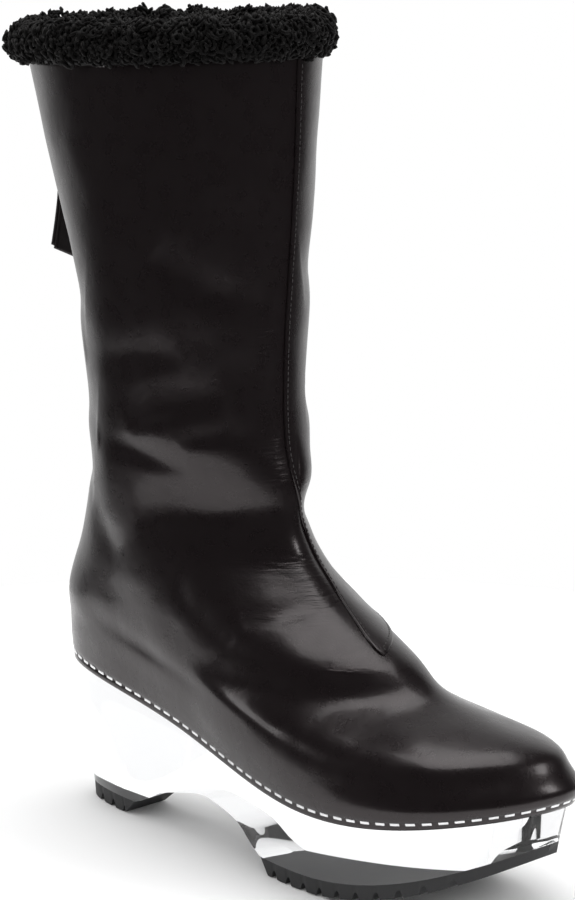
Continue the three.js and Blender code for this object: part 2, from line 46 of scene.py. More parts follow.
# The upper is one hollow shaft and foot of smooth black leather, pulled over a last and
# brought down on to the clear sole. The leg is slack and holds soft dents, and the ankle and
# instep are creased from wear.
FOOT_LENGTH = 261.0
HEEL_BACK = 22.0
WIDTHS = (60.0, 60.0, 59.0, 92.0, 92.0, 92.0)
TOE_SWING = 15.0
WAIST_SWING = 7.0
FEATHER = (65.0, 63.8, 52.5, 36.6, 40.5, 45.0)
HEEL_RISE = 90.0
INSTEP_RISE = 109.0
ANKLE = {"back": 8.2, "front": 104.0, "width": 79.0}
COLLAR = {"back": 38.5, "front": 104.5, "width": 100.0}
SHAFT_BACK_HEIGHT = 171.0
SHAFT_FRONT_HEIGHT = 180.0
SHIN_DIP = 6.0
LEATHER = 2.4
CLEARANCE = 0.3
TURN = 2 * math.pi
STATIONS = [i * math.pi / 5 for i in range(6)]

# back, rise, reach, front, sag, swing, and the six half widths from heel to toe
FOOT_SECTIONS = (
    (0.000, 0.00, 1.000, 0.000, 1.00, 1.00, (1.88, 1.50, 1.00, 1.00, 1.24, 1.24)),
    (0.004, 0.09, 1.012, 0.070, 0.98, 1.00, (1.90, 1.52, 1.07, 1.05, 1.28, 1.26)),
    (0.006, 0.17, 0.990, 0.145, 0.90, 1.00, (1.90, 1.53, 1.11, 1.06, 1.23, 1.18)),
    (0.006, 0.24, 0.960, 0.208, 0.75, 0.92, (1.90, 1.53, 1.15, 1.03, 1.16, 1.06)),
    (0.004, 0.31, 0.860, 0.265, 0.60, 0.55, (1.88, 1.53, 1.18, 0.97, 0.97, 0.86)),
    (0.000, 0.39, 0.765, 0.325, 0.45, 0.50, (1.80, 1.50, 1.20, 0.90, 0.84, 0.74)),
    (-0.010, 0.49, 0.712, 0.420, 0.30, 0.40, (1.65, 1.45, 1.22, 0.88, 0.84, 0.74)),
    (-0.026, 0.62, 0.608, 0.560, 0.15, 0.20, (1.43, 1.35, 1.24, 0.84, 0.75, 0.64)),
    (-0.042, 0.80, 0.503, 0.770, 0.05, 0.08, (1.25, 1.26, 1.25, 0.78, 0.64, 0.54)),
)
# rise, back, front, width, and how full the heel and the shin are
LEG_SECTIONS = (
    (0.00, 0.00, 0.00, 0.00, 0.92, 0.72),
    (0.12, -0.02, -0.75, 0.02, 0.98, 0.98),
    (0.25, 0.00, -1.10, 0.10, 0.98, 0.98),
    (0.40, 0.05, -1.10, 0.28, 1.00, 1.00),
    (0.59, 0.25, -0.95, 0.50, 1.00, 1.00),
    (0.79, 0.62, -0.55, 0.76, 1.00, 1.00),
    (1.00, 1.00, 0.00, 1.00, 1.00, 1.00),
)


def mix(start, end, share):
    return start + (end - start) * share


def smooth_curve(knots, values, level_ends=False):
    """A cubic curve through the values, level at both ends if asked."""
    n = len(knots)
    step = [knots[i + 1] - knots[i] for i in range(n - 1)]
    rise = [(values[i + 1] - values[i]) / step[i] for i in range(n - 1)]
    low, mid, high, right = [0.0] * n, [1.0] * n, [0.0] * n, [0.0] * n
    for i in range(1, n - 1):
        low[i], mid[i], high[i] = step[i - 1], 2 * (step[i - 1] + step[i]), step[i]
        right[i] = 6 * (rise[i] - rise[i - 1])
    if level_ends:
        mid[0], high[0], right[0] = 2 * step[0], step[0], 6 * rise[0]
        low[-1], mid[-1], right[-1] = step[-1], 2 * step[-1], -6 * rise[-1]
    for i in range(1, n):
        share = low[i] / mid[i - 1]
        mid[i] -= share * high[i - 1]
        right[i] -= share * right[i - 1]
    bend = [0.0] * n
    bend[-1] = right[-1] / mid[-1]
    for i in range(n - 2, -1, -1):
        bend[i] = (right[i] - high[i] * bend[i + 1]) / mid[i]

    def curve(at):
        i = 0
        while i < n - 2 and at > knots[i + 1]:
            i += 1
        h = step[i]
        a = (knots[i + 1] - at) / h
        b = (at - knots[i]) / h
        cubic = ((a ** 3 - a) * bend[i] + (b ** 3 - b) * bend[i + 1]) * h * h / 6
        return a * values[i] + b * values[i + 1] + cubic

    return curve


def last_rows():
    rows = []
    for back, rise, reach, front, sag, swing, half in FOOT_SECTIONS:
        rows.append([
            -HEEL_BACK - back * FOOT_LENGTH, FEATHER[0] + rise * HEEL_RISE,
            -HEEL_BACK + reach * FOOT_LENGTH, FEATHER[5] + front * INSTEP_RISE, sag, swing,
        ] + [share * width / 2 for share, width in zip(half, WIDTHS)])
    for rise, back, front, width, heel, shin in LEG_SECTIONS:
        half = mix(ANKLE["width"], COLLAR["width"], width) / 2
        fullness = (heel, heel, 1, mix(1, shin, 0.4), mix(1, shin, 0.85), shin)
        rows.append([
            -mix(ANKLE["back"], COLLAR["back"], back),
            FEATHER[0] + HEEL_RISE + rise * SHAFT_BACK_HEIGHT,
            mix(ANKLE["front"], COLLAR["front"], rise) + front * SHIN_DIP,
            FEATHER[5] + INSTEP_RISE + rise * SHAFT_FRONT_HEIGHT, 0, 0,
        ] + [share * half for share in fullness])
    return rows


ROWS = last_rows()
TOP = float(len(ROWS) - 1)
ROW_CURVES = [smooth_curve(range(len(ROWS)), [row[k] for row in ROWS]) for k in range(len(ROWS[0]))]
DIPS = [z - mix(FEATHER[0], FEATHER[5], (1 - math.cos(a)) / 2) for z, a in zip(FEATHER, STATIONS)]
feather_dip = smooth_curve(STATIONS, DIPS, True)
SWINGS = (0, 0, -WAIST_SWING * 0.7, TOE_SWING * 0.04, TOE_SWING * 0.5, TOE_SWING)
foot_swing = smooth_curve(STATIONS, SWINGS, True)
SECTION_CACHE = {}


def last_point(turn, height):
    """A point on the outside of the leather. turn runs from the back by the outer side to the
    toe and home by the inner side; height counts the sections from the sole to the collar."""
    if height not in SECTION_CACHE:
        row = [curve(height) for curve in ROW_CURVES]
        SECTION_CACHE[height] = (row, smooth_curve(STATIONS, row[6:], True))
    row, half_width = SECTION_CACHE[height]
    angle = turn if turn <= math.pi else TURN - turn
    share = (1 - math.cos(angle)) / 2
    y = row[5] * foot_swing(angle) - half_width(angle) * math.sin(turn)
    z = mix(row[1], row[3], share) + row[4] * feather_dip(angle)
    return Vector((mix(row[0], row[2], share), y, z))


def outward(turn, height):
    """The outward direction of the leather, square to its surface."""
    nudge = 0.01
    around = last_point((turn + nudge) % TURN, height) - last_point((turn - nudge) % TURN, height)
    above = last_point(turn, min(height + nudge, TOP))
    return around.cross(above - last_point(turn, max(height - nudge, 0.0))).normalized()


# Folds in the leather: two ends and a middle, each as a share of a half turn and a section,
# then the depth (less than nothing for a ridge) and the reach above and below
FOLDS = (
    ((0.62, 12.80), (0.76, 12.36), (0.95, 12.10), 1.3, 11, 5),
    ((0.28, 11.28), (0.46, 11.32), (0.68, 11.52), 1.5, 10, 5),
    ((0.50, 10.30), (0.65, 10.64), (0.80, 10.84), 1.5, 11, 5),
    ((0.36, 9.72), (0.50, 9.70), (0.66, 9.46), 1.1, 7, 4),
    ((0.66, 10.02), (0.80, 10.10), (0.95, 9.80), 0.9, 7, 3),
    ((0.50, 8.34), (0.70, 8.56), (0.94, 8.72), 1.2, 11, 5),
    ((0.30, 8.70), (0.34, 7.90), (0.40, 7.20), 0.9, 9, 9),
    ((0.68, 6.78), (0.77, 6.98), (0.90, 7.20), 0.9, 7, 3),
    ((0.66, 7.80), (0.84, 7.84), (1.02, 7.86), 0.6, 7, 4),
    ((0.56, 6.95), (0.68, 6.30), (0.78, 5.85), -0.7, 9, 9),
    ((0.62, 6.20), (0.66, 5.30), (0.70, 4.20), -0.7, 12, 12),
    ((0.74, 6.10), (0.83, 5.85), (0.93, 5.85), 0.35, 11, 8),
    ((0.93, 8.70), (0.97, 8.00), (1.00, 7.40), -0.4, 7, 7),
    ((0.12, 12.60), (0.22, 12.20), (0.34, 12.00), 1.3, 16, 9),
    ((0.10, 10.60), (0.22, 10.30), (0.36, 10.10), 1.2, 14, 8),
    ((0.08, 9.20), (0.18, 8.90), (0.30, 8.60), 1.0, 10, 6),
    ((1.04, 9.35), (1.20, 9.10), (1.50, 9.20), -1.6, 10, 8),
    ((1.04, 8.65), (1.25, 8.55), (1.60, 8.50), 1.8, 9, 6),
    ((1.15, 10.60), (1.35, 10.40), (1.62, 10.60), 1.5, 14, 7),
    ((1.30, 11.70), (1.50, 11.90), (1.75, 11.60), 1.3, 15, 8),
    ((1.10, 12.40), (1.26, 12.60), (1.45, 12.90), 1.2, 16, 8),
    ((1.45, 9.80), (1.62, 9.60), (1.84, 9.80), 1.3, 10, 6),
    ((1.20, 7.40), (1.36, 7.10), (1.56, 7.30), 1.0, 9, 5),
    ((1.60, 8.00), (1.72, 7.60), (1.86, 7.80), 0.9, 9, 6),
)


def fold_line(ends):
    return [last_point(share * math.pi, section) for share, section in ends]


FOLD_LINES = [(fold_line(fold[:3]), fold[3], fold[4], fold[5]) for fold in FOLDS]
FOLD_LIMIT = 75


def fold_depth(point):
    """How far the folds push the leather in or out at a point."""
    total = 0.0
    for line, depth, above, below in FOLD_LINES:
        if (point - line[1]).length > FOLD_LIMIT:
            continue
        best = None
        for part in (0, 1):
            start, end = line[part], line[part + 1]
            along = end - start
            share = min(max((point - start).dot(along) / along.length_squared, 0.0), 1.0)
            away = point - start - along * share
            if best is None or away.length < best[0]:
                best = (away.length, (part + share) / 2, away.z)
        reach = above if best[2] > 0 else below
        fade = math.sqrt(max(4 * best[1] * (1 - best[1]), 0.0))
        total -= depth * fade * math.exp(-((best[0] / reach) ** 2))
    return total


# The height of the leather's broad waves, and how many of them go to a millimetre
SLACK = ((0.45, 0.022), (0.34, 0.055))


def slack(point):
    """Broad, shallow unevenness of leather that nothing fills."""
    return sum(height * noise.noise(point * waves) for height, waves in SLACK)


# The lower edge is drawn in where the staples pull it down, and the folds fade out over some
# sections at both ends
STAPLE_SECTION = 0.36
STAPLE_PULL = 0.5
STAPLE_GROOVE = 0.13
CALM_LOW = 1.5
CALM_HIGH = 0.8


def leather_point(turn, height, offset=0.0):
    place = last_point(turn, height)
    out = outward(turn, height)
    calm = min(height / CALM_LOW, (TOP - height) / CALM_HIGH, 1.0)
    pull = STAPLE_PULL * math.exp(-(((height - STAPLE_SECTION) / STAPLE_GROOVE) ** 2))
    return place + out * (offset - pull + calm * (fold_depth(place) + slack(place)))


def sheet_of(columns, rows, place):
    """A sheet that runs from 0 to 1 both ways, each point then put in its place."""
    bm = bmesh.new()
    bmesh.ops.create_grid(bm, x_segments=columns, y_segments=rows, size=0.5)
    for vert in bm.verts:
        vert.co = place(vert.co.x + 0.5, vert.co.y + 0.5) * MM
    return bm


def piece_from(bm, name, material, body="boot", sharp=None, merge=0.00001):
    """Closes the bmesh into an object with its finish, riding on its body."""
    bmesh.ops.remove_doubles(bm, verts=bm.verts, dist=merge)
    bmesh.ops.dissolve_degenerate(bm, edges=bm.edges, dist=merge)
    bmesh.ops.recalc_face_normals(bm, faces=bm.faces)
    for face in bm.faces:
        face.smooth = True
    if sharp is not None:
        for edge in bm.edges:
            edge.smooth = not (edge.is_manifold and edge.calc_face_angle(0.0) > sharp)
    mesh = bpy.data.meshes.new(name)
    bm.to_mesh(mesh)
    bm.free()
    piece = bpy.data.objects.new(name, mesh)
    bpy.context.scene.collection.objects.link(piece)
    mesh.materials.append(material)
    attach(piece, body)
    return piece


def give_thickness(piece, thickness):
    wall = piece.modifiers.new("thickness", "SOLIDIFY")
    wall.thickness = thickness * MM
    wall.offset = -1


def new_finish(name, **sockets):
    """A material with its plain values set on the shader's own sockets."""
    material = bpy.data.materials.new(name)
    material.use_nodes = True
    shader = material.node_tree.nodes["Principled BSDF"]
    for socket, value in sockets.items():
        shader.inputs[socket.replace("_", " ")].default_value = value
    return material, material.node_tree, shader


def link(tree, start, output, end, socket):
    tree.links.new(start.outputs[output], end.inputs[socket])


def add_noise(tree, size, detail=3.0, stretch=(1, 1, 1)):
    """A noise pattern in the object's own coordinates, with grains of the given size in mm."""
    place = tree.nodes.new("ShaderNodeTexCoord")
    mapping = tree.nodes.new("ShaderNodeMapping")
    mapping.inputs["Scale"].default_value = [1000 / size * s for s in stretch]
    pattern = tree.nodes.new("ShaderNodeTexNoise")
    pattern.inputs["Scale"].default_value = 1.0
    pattern.inputs["Detail"].default_value = detail
    link(tree, place, "Object", mapping, "Vector")
    link(tree, mapping, "Vector", pattern, "Vector")
    return pattern


def add_bump(tree, pattern, output, height, shader, below=None):
    bump = tree.nodes.new("ShaderNodeBump")
    bump.inputs["Distance"].default_value = height * MM
    bump.inputs["Strength"].default_value = 1.0
    link(tree, pattern, output, bump, "Height")
    if below is not None:
        link(tree, below, "Normal", bump, "Normal")
    link(tree, bump, "Normal", shader, "Normal")
    return bump


# The sizes of the leather's grain and mottling, and how far a wrinkle's ridge is drawn out
GRAIN_SIZE = 0.9
MOTTLE_SIZE = 7.0
MOTTLE_SHARE = 3.5
WRINKLE_SIZE = 1.0
WRINKLE_STRETCH = (0.09, 0.09, 0.75)
WRINKLE_HEIGHT = 0.45


def leather_finish(name, base, roughness, grain):
    material, tree, shader = new_finish(
        name, Base_Color=base, Roughness=roughness, IOR=1.45, Coat_Weight=0.25, Coat_Roughness=0.14,
        Specular_Tint=(1.0, 0.90, 0.91, 1),
    )
    fine = add_noise(tree, GRAIN_SIZE, 4.0)
    first = add_bump(tree, fine, "Fac", grain, shader)
    broad = add_noise(tree, MOTTLE_SIZE, 3.0)
    second = add_bump(tree, broad, "Fac", grain * MOTTLE_SHARE, shader, first)
    wrinkles = add_noise(tree, WRINKLE_SIZE, 2.0, WRINKLE_STRETCH)
    zone = tree.nodes.new("ShaderNodeAttribute")
    zone.attribute_name = "wrinkled"
    product = tree.nodes.new("ShaderNodeMath")
    product.operation = "MULTIPLY"
    link(tree, wrinkles, "Fac", product, 0)
    link(tree, zone, "Fac", product, 1)
    add_bump(tree, product, "Value", WRINKLE_HEIGHT, shader, second)
    shine = tree.nodes.new("ShaderNodeMapRange")
    shine.inputs["To Min"].default_value = roughness - 0.05
    shine.inputs["To Max"].default_value = roughness + 0.10
    link(tree, broad, "Fac", shine, "Value")
    link(tree, shine, "Result", shader, "Roughness")
    return material


black_leather = leather_finish("black_leather", (0.0056, 0.0038, 0.0042, 1), 0.26, 0.045)

# Where the leather is finely wrinkled: share of a half turn, section, reach round and up, how much
WRINKLES = (
    (0.97, 7.70, 0.07, 0.40, 1.0),
    (0.94, 7.25, 0.06, 0.22, 1.0),
    (0.86, 7.86, 0.12, 0.12, 0.8),
    (0.95, 9.40, 0.06, 0.35, 0.7),
    (0.95, 11.70, 0.06, 0.45, 0.5),
    (0.86, 9.95, 0.12, 0.14, 0.7),
    (0.80, 6.98, 0.08, 0.10, 0.9),
    (0.84, 5.95, 0.08, 0.10, 0.8),
    (1.10, 9.10, 0.08, 0.50, 0.6),
    (1.20, 7.60, 0.15, 0.40, 0.5),
)


def wrinkled(turn, height):
    total = 0.0
    for share, section, around, up, amount in WRINKLES:
        a = (turn / math.pi - share) / around
        b = (height - section) / up
        total += amount * math.exp(-a * a - b * b)
    return min(total, 1.0)


def leather_sheet(columns, rows, spot):
    """A sheet of leather on the last. spot gives the turn, the section and the offset of a
    point, and each point stores how wrinkled the leather is there."""
    bm = bmesh.new()
    bmesh.ops.create_grid(bm, x_segments=columns, y_segments=rows, size=0.5)
    zone = bm.verts.layers.float.new("wrinkled")
    for vert in bm.verts:
        turn, height, offset = spot(vert.co.x + 0.5, vert.co.y + 0.5)
        vert.co = leather_point(turn, height, offset) * MM
        vert[zone] = wrinkled(turn, height)
    return bm


EDGE_ROWS = [0.0, 0.10, 0.18, 0.25, 0.31, 0.36, 0.41, 0.47, 0.54, 0.64, 0.78, 1.0]
FOOT_TOP = len(FOOT_SECTIONS)
FOOT_STEPS = 84
LEG_STEPS = 80
FOOT_ROWS = [1 + (FOOT_TOP - 1) * (i + 1) / FOOT_STEPS for i in range(FOOT_STEPS)]
LEG_ROWS = [FOOT_TOP + (TOP - FOOT_TOP) * (i + 1) / LEG_STEPS for i in range(LEG_STEPS)]
UPPER_ROWS = EDGE_ROWS + FOOT_ROWS + LEG_ROWS
UPPER_COLUMNS = 256


def upper_spot(across, up):
    return (across * TURN) % TURN, UPPER_ROWS[round(up * (len(UPPER_ROWS) - 1))], 0.0


upper_sheet = leather_sheet(UPPER_COLUMNS, len(UPPER_ROWS) - 1, upper_spot)
upper = piece_from(upper_sheet, "leather_upper", black_leather)
give_thickness(upper, LEATHER)
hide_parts("upper")


# The inner shaft panel lies over the upper. Its folded front edge runs down the shin, turns a
# tight round point on the vamp and goes home along the inner side, and the back ends at the zip.
PANEL_STEP = 1.0
PANEL_SECTIONS = (6.28, 6.64, 7.0, 7.5, 8.1, 8.7, 9.4, 10.3, 11.6, 13.0, 15.0)
PANEL_SHARES = (0.935, 0.950, 0.985, 1.040, 1.075, 1.040, 1.000, 1.000, 1.012, 1.028, 1.012)
PANEL_LOW = (
    (0.0, 6.55), (0.03, 6.33), (0.07, 6.29), (0.14, 6.38), (0.24, 6.48), (0.40, 6.55),
    (0.70, 6.62), (1.0, 6.70),
)
PANEL_ROLL = 0.9
PANEL_LIFT = 0.05
PANEL_CROWDING = 1.5
LEG_RADIUS = 46.0
SECTION_RISE = 24.0
ZIP_GAP = 4.6
panel_front = smooth_curve(PANEL_SECTIONS, PANEL_SHARES)
panel_low = smooth_curve([row[0] for row in PANEL_LOW], [row[1] for row in PANEL_LOW])


def back_turn(off, height):
    """How far round the boot a point lies that is off millimetres from the centre back."""
    nudge = 0.05
    return nudge * off / abs(last_point(nudge, height).y)


def panel_spot(across, up):
    low = panel_low(across)
    height = mix(low, TOP, up ** PANEL_CROWDING)
    start = math.pi * panel_front(height)
    end = TURN - back_turn(ZIP_GAP, height)
    turn = mix(start, end, across ** PANEL_CROWDING)
    edge = min(
        (turn - start) * LEG_RADIUS, (height - low) * SECTION_RISE, (end - turn) * LEG_RADIUS,
    )
    roll = 1 - min(max(edge, 0.0) / PANEL_ROLL, 1.0)
    return turn, height, PANEL_STEP * math.sqrt(max(1 - roll * roll, 0.0)) + PANEL_LIFT


panel_sheet = leather_sheet(130, 170, panel_spot)
inner_panel = piece_from(panel_sheet, "inner_panel", black_leather)
give_thickness(inner_panel, PANEL_STEP * 0.9)
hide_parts("upper")


# A row of small stitches in dark grey thread holds the panel down just inside its folded edge.
# Each stitch is a short, slightly sunk bar of thread.
STITCH_IN = 2.0
STITCH_PITCH = 2.4
STITCH = (1.5, 0.42, 0.30)
STITCH_ROUND = 0.13
STITCH_LIFT = 0.12
SEAM_STEPS = 500
SEAM_TIP = 0.12
SEAM_BACK = 0.12
SEAM_RUN = (0.06, 0.97)
SEAM_CROWDING = 1.4


def seam_path():
    """Points of the stitch row, down the shin, round the point and back along the inner side."""
    path = []
    for i in range(SEAM_STEPS):
        height = mix(TOP - 0.05, panel_low(0.0) + SEAM_TIP, i / (SEAM_STEPS - 1))
        path.append((math.pi * panel_front(height) + STITCH_IN / LEG_RADIUS, height))
    first = path[-1][0]
    for i in range(1, SEAM_STEPS):
        across = mix(*SEAM_RUN, (i / (SEAM_STEPS - 1)) ** SEAM_CROWDING)
        start = math.pi * panel_front(panel_low(across))
        turn = mix(start, TURN - SEAM_BACK, across ** PANEL_CROWDING)
        path.append((max(turn, first), panel_low(across) + STITCH_IN / SECTION_RISE))
    return path


def set_along(bm, shape, path, pitch, offset, lift=0.0):
    """Sets copies of a small shape along a path on the leather, a pitch apart, each turned to
    run along the path and to lie flat on the leather."""
    gone = 0.0
    here = leather_point(*path[0], offset)
    for i in range(1, len(path)):
        there = leather_point(*path[i], offset)
        gone += (there - here).length
        if gone >= pitch:
            gone -= pitch
            run = (there - here).normalized()
            out = outward(*path[i])
            side = out.cross(run).normalized()
            turned = Matrix((run, side, run.cross(side))).transposed().to_4x4()
            copy = shape.copy()
            copy.transform(Matrix.Translation((there + out * lift) * MM) @ turned)
            bm.from_mesh(copy)
            bpy.data.meshes.remove(copy)
        here = there


def rounded_bar(size, round_off, segments=1):
    """A small bar with rounded edges, as a mesh to be copied."""
    bm = bmesh.new()
    bmesh.ops.create_cube(bm, size=1.0)
    bmesh.ops.scale(bm, vec=[s * MM for s in size], verts=bm.verts)
    bmesh.ops.bevel(
        bm, geom=bm.edges[:], offset=round_off * MM, segments=segments, profile=0.5,
        affect="EDGES", material=-1,
    )
    mesh = bpy.data.meshes.new("bar")
    bm.to_mesh(mesh)
    bm.free()
    return mesh


thread, thread_tree, thread_shader = new_finish(
    "seam_thread", Base_Color=(0.040, 0.036, 0.036, 1), Roughness=0.55,
)
add_bump(thread_tree, add_noise(thread_tree, 0.25, 2.0), "Fac", 0.05, thread_shader)
stitches = bmesh.new()
stitch = rounded_bar(STITCH, STITCH_ROUND)
set_along(stitches, stitch, seam_path(), STITCH_PITCH, PANEL_STEP, STITCH_LIFT)
piece_from(stitches, "seam_stitches", thread)


# Bright wire staples hold the upper's lower edge to the clear sole all the way round. Each one
# is a flat wire bar driven into the leather.
STAPLE = (4.0, 1.35, 0.55)
STAPLE_ROUND = 0.2
STAPLE_LIFT = 0.12
STAPLE_SPACING = 6.6
STAPLE_STEPS = 1600
staple_wire, staple_tree, staple_shader = new_finish(
    "staple_wire", Base_Color=(0.86, 0.86, 0.87, 1), Metallic=0.75, Roughness=0.30,
)
add_bump(staple_tree, add_noise(staple_tree, 0.6, 2.0), "Fac", 0.03, staple_shader)
staple_path = [(TURN * (i / STAPLE_STEPS), STAPLE_SECTION) for i in range(STAPLE_STEPS)]
staple_path.append((0.0, STAPLE_SECTION))
staples = bmesh.new()
staple = rounded_bar(STAPLE, STAPLE_ROUND, 2)
set_along(staples, staple, staple_path, STAPLE_SPACING, 0.0, STAPLE_LIFT)
piece_from(staples, "sole_staples", staple_wire)


# The clear sole is one cast wedge, polished all over. Its edge follows the last's feather line,
# tapers down to the treads, and is cut away in an arch between the heel and the ball.
SIDE_OFFSET = -(LEATHER + CLEARANCE)
TREAD = 6.7
TREAD_TOP = TREAD + CLEARANCE
BREAST_X = 27.0
ARCH_LENGTH = 91.0
ARCH_RISE = 16.4
ROCKER_START = 141.0
ROCKER_RADIUS = 185.0
ROCKER_TOP_RADIUS = 205.0
ARCH = (
    (0.0, 0.0), (0.12, 0.27), (0.21, 0.53), (0.32, 0.72), (0.45, 0.90), (0.56, 1.0),
    (0.69, 0.92), (0.79, 0.79), (0.86, 0.61), (0.90, 0.41), (0.945, 0.19), (1.0, 0.0),
)
outer_taper = smooth_curve(STATIONS, (0.066, 0.13, 0.13, 0.13, 0.15, 0.20), True)
inner_taper = smooth_curve(STATIONS, (0.066, 0.28, 0.23, 0.12, 0.15, 0.20), True)
arch_line = smooth_curve([run for run, rise in ARCH], [rise for run, rise in ARCH])


def rocker(x, radius):
    """How far the sprung toe has risen at a given X."""
    run = max(x - ROCKER_START, 0.0)
    return radius - math.sqrt(radius * radius - run * run)


def sole_under(x):
    """The height of the clear sole's underside."""
    share = (x - BREAST_X) / ARCH_LENGTH
    if 0 < share < 1:
        return TREAD_TOP + ARCH_RISE * max(arch_line(share), 0.0)
    return TREAD_TOP + rocker(x, ROCKER_TOP_RADIUS)


def sole_side(turn, floor):
    """A point on the sole's side, at a height above the floor."""
    start = last_point(turn, 0.0) + outward(turn, 0.0) * SIDE_OFFSET
    out = outward(turn, 0.0)
    out.z = 0.0
    out.normalize()
    taper = outer_taper(turn) if turn <= math.pi else inner_taper(TURN - turn)
    place = start - out * taper * (start.z - floor)
    place.z = floor
    return place


def side_foot(turn, surface):
    """Where the side meets an underside whose height depends on X."""
    floor = surface(last_point(turn, 0.0).x)
    for _ in range(12):
        floor = surface(sole_side(turn, floor).x)
    return sole_side(turn, floor)


SOLE_COLUMNS = 240
SIDE_SHARE = 0.6


def sole_wall(across, up):
    """The side, from the underside up to the feather line and on up inside the upper."""
    turn = (across * TURN) % TURN
    if up <= SIDE_SHARE:
        foot = side_foot(turn, sole_under)
        top = last_point(turn, 0.0) + outward(turn, 0.0) * SIDE_OFFSET
        return foot.lerp(top, up / SIDE_SHARE)
    section = (up - SIDE_SHARE) / (1 - SIDE_SHARE)
    return last_point(turn, section) + outward(turn, section) * SIDE_OFFSET


def rung(across, up, ring, height_of=None):
    """A point on a straight rung from the outer side to the inner side of a closed ring."""
    turn = across * math.pi
    place = ring(turn).lerp(ring((TURN - turn) % TURN), up)
    if height_of is not None:
        place.z = height_of(place)
    return place


def sole_base(across, up):
    """The underside, between the feet of the side."""
    def ring(turn):
        return side_foot(turn, sole_under)

    return rung(across, up, ring, lambda place: sole_under(place.x))


def sole_top(across, up):
    """The top, inside the upper, which carries the insole board."""
    def ring(turn):
        return last_point(turn, 1.0) + outward(turn, 1.0) * SIDE_OFFSET

    return rung(across, up, ring)


def join_sheets(*sheets):
    """Puts several sheets into one bmesh; the first one grows."""
    whole = sheets[0]
    for sheet in sheets[1:]:
        part = bpy.data.meshes.new("part")
        sheet.to_mesh(part)
        sheet.free()
        whole.from_mesh(part)
        bpy.data.meshes.remove(part)
    return whole


clear_resin = new_finish(
    "clear_resin", Base_Color=(0.985, 0.99, 1.0, 1), Roughness=0.0, IOR=1.49,
    Transmission_Weight=1.0,
)[0]
sole_sheets = join_sheets(
    sheet_of(SOLE_COLUMNS, 20, sole_wall),
    sheet_of(SOLE_COLUMNS // 2, 16, sole_base),
    sheet_of(SOLE_COLUMNS // 2, 16, sole_top),
)
clear_sole = piece_from(
    sole_sheets, "clear_sole", clear_resin, sharp=0.5, merge=0.00003,
)
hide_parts("platform")


# The treads are moulded black rubber, bonded to the clear sole so that their tops show through
# it. Wedge notches round the edge leave a row of lugs, and the toe is sprung up.
LUG_PITCH = 9.5
FIRST_LUG = 8.5
LUG_DEPTH = 3.2
LUG_WIDTH = 3.4
LUG_SLOPE = 0.32
LUG_REACH = 13.0
TREAD_POINTS = 15
TREAD_BEVEL = 8.0
BOND = 0.4
BALL_X = BREAST_X + ARCH_LENGTH


def notch_depth(x, first, last_x):
    """The depth of the edge notches at a place along the tread."""
    if x < first - LUG_WIDTH or x > last_x:
        return 0.0
    off = abs((x - first + LUG_PITCH / 2) % LUG_PITCH - LUG_PITCH / 2)
    share = (LUG_WIDTH / 2 - off) / (LUG_WIDTH * LUG_SLOPE)
    return LUG_DEPTH * min(max(share, 0.0), 1.0) ** 0.7


def side_y(x, z, inner):
    """How far out the sole's side is at a given X and height, on the outer or the inner side."""
    low, high = 0.0, math.pi
    for _ in range(24):
        middle = (low + high) / 2
        if sole_side(TURN - middle if inner else middle, z).x < x:
            low = middle
        else:
            high = middle
    return sole_side(TURN - low if inner else low, z).y


def tread_piece(name, node, ends, under, over, first_notch, last_notch, rows):
    """A tread from one end to the other. ends gives the lower and the upper X at both ends, and
    under and over are the heights of the tread's two faces."""
    rings = {}

    def ring(along):
        low_x = mix(ends[0][0], ends[1][0], along)
        high_x = mix(ends[0][1], ends[1][1], along)
        floor, roof = under(low_x), over(high_x)
        outer, inner = side_y(low_x, floor, False), side_y(low_x, floor, True)
        edge = LUG_REACH
        stops = [mix(outer, -edge - 0.3, k / 3) for k in range(4)] + [1 - edge, -edge / 2, 0.0]
        stops += [edge / 2, edge - 1] + [mix(edge + 0.3, inner, k / 3) for k in range(4)]
        notch = notch_depth(low_x, first_notch, last_notch)
        points = []
        for y in stops:
            y = min(max(y, outer), inner)
            depth = notch if abs(y) > edge else 0.0
            points.append(Vector((low_x, y, min(floor + depth, roof))))
        outer, inner = side_y(high_x, roof, False) + 0.2, side_y(high_x, roof, True) - 0.2
        points.append(Vector((high_x, max(inner, outer), roof)))
        points.append(Vector((high_x, min(inner, outer), roof)))
        return points

    def place(around, along):
        if along not in rings:
            rings[along] = ring(along)
        return rings[along][round(around * TREAD_POINTS) % TREAD_POINTS]

    tread_sheet = sheet_of(TREAD_POINTS, rows, place)
    tread = piece_from(tread_sheet, name, rubber, sharp=0.5)
    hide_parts(node)


rubber, rubber_tree, rubber_shader = new_finish(
    "tread_rubber", Base_Color=(0.014, 0.014, 0.015, 1), Roughness=0.62,
)
add_bump(rubber_tree, add_noise(rubber_tree, 0.7, 3.0), "Fac", 0.06, rubber_shader)
ROOF = TREAD + BOND
PAST_TOE = 400.0


def heel_under(x):
    """The heel tread's underside, cut off on a slant in front."""
    return ROOF * max((x - BREAST_X + TREAD_BEVEL) / TREAD_BEVEL, 0.0)


def fore_under(x):
    """The forefoot tread's underside, slanted behind and sprung up at the toe."""
    slant = ROOF * max(1 - (x - BALL_X) / (TREAD_BEVEL / 2), 0.0)
    return max(slant, rocker(x, ROCKER_RADIUS))


def fore_over(x):
    return ROOF + rocker(x, ROCKER_TOP_RADIUS)


